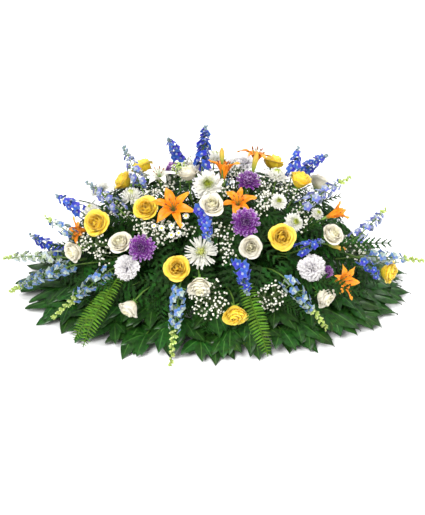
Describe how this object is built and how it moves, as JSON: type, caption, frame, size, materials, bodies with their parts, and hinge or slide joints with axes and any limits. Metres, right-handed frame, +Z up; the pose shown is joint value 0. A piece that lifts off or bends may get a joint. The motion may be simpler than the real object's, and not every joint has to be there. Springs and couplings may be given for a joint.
{
  "type": "casket spray",
  "caption": "Low oval mound of mixed cut flowers and flower spikes over a skirt of broad leaves, standing in floral foam in a shallow saddle tray.",
  "frame": {"origin": "under the middle of the saddle tray, on the plane that its flat foot stands on", "axes": "+Z up, +X along the spray's length to the right of its front, -Y towards its front"},
  "size_m": [0.9349, 0.683, 0.3671],
  "materials": {
    "yellow_rose_petal": "satin",
    "white_rose_petal": "satin",
    "white_carnation_petal": "matte",
    "white_mum_petal": "satin",
    "purple_mum_petal": "satin",
    "orange_lily_petal": "satin",
    "white_lily_petal": "satin",
    "blue_delphinium_floret": "satin",
    "pale_delphinium_floret": "satin",
    "babys_breath_flower": "matte",
    "sword_fern_frond": "satin",
    "leatherleaf_frond": "satin",
    "skirt_leaf": "gloss",
    "floral_foam": "matte",
    "saddle_tray": "satin"
  },
  "bodies": {
    "root": {"babys_breath_behind": "babys_breath_flower", "babys_breath_front": "babys_breath_flower", "babys_breath_left": "babys_breath_flower", "babys_breath_right": "babys_breath_flower", "blue_delphinium_front": "blue_delphinium_floret", "blue_delphiniums_behind": "blue_delphinium_floret", "blue_delphiniums_left": "blue_delphinium_floret", "blue_delphiniums_middle": "blue_delphinium_floret", "blue_delphiniums_right": "blue_delphinium_floret", "floral_foam": "floral_foam", "leatherleaf_behind": "leatherleaf_frond", "leatherleaf_front": "leatherleaf_frond", "leatherleaf_left": "leatherleaf_frond", "leatherleaf_right": "leatherleaf_frond", "orange_lilies_right": "orange_lily_petal", "orange_lily_behind": "orange_lily_petal", "orange_lily_crest": "orange_lily_petal", "orange_lily_front": "orange_lily_petal", "orange_lily_left": "orange_lily_petal", "orange_lily_mid": "orange_lily_petal", "pale_delphinium_end": "pale_delphinium_floret", "pale_delphinium_front": "pale_delphinium_floret", "pale_delphinium_low_left": "pale_delphinium_floret", "pale_delphinium_low_right": "pale_delphinium_floret", "pale_delphiniums_behind": "pale_delphinium_floret", "pale_delphiniums_left": "pale_delphinium_floret", "pale_delphiniums_upper_left": "pale_delphinium_floret", "pale_delphiniums_upper_right": "pale_delphinium_floret", "purple_mum_behind": "purple_mum_petal", "purple_mum_end": "purple_mum_petal", "purple_mum_left": "purple_mum_petal", "purple_mums_crest": "purple_mum_petal", "saddle_tray": "saddle_tray", "skirt_leaves_front_left": "skirt_leaf", "skirt_leaves_front_right": "skirt_leaf", "skirt_leaves_rear_left": "skirt_leaf", "skirt_leaves_rear_right": "skirt_leaf", "sword_fern_left": "sword_fern_frond", "sword_fern_right": "sword_fern_frond", "white_carnation_behind": "white_carnation_petal", "white_carnation_left": "white_carnation_petal", "white_carnation_right": "white_carnation_petal", "white_carnations_crest": "white_carnation_petal", "white_lily_crest": "white_lily_petal", "white_mum_crest": "white_mum_petal", "white_mum_front": "white_mum_petal", "white_mums_behind": "white_mum_petal", "white_mums_left": "white_mum_petal", "white_mums_right": "white_mum_petal", "white_rose_front": "white_rose_petal", "white_roses_behind": "white_rose_petal", "white_roses_crest": "white_rose_petal", "white_roses_left": "white_rose_petal", "white_roses_low": "white_rose_petal", "white_roses_right": "white_rose_petal", "yellow_rose_end": "yellow_rose_petal", "yellow_roses_behind": "yellow_rose_petal", "yellow_roses_front": "yellow_rose_petal", "yellow_roses_left": "yellow_rose_petal", "yellow_roses_right": "yellow_rose_petal"}
  },
  "joints": []
}
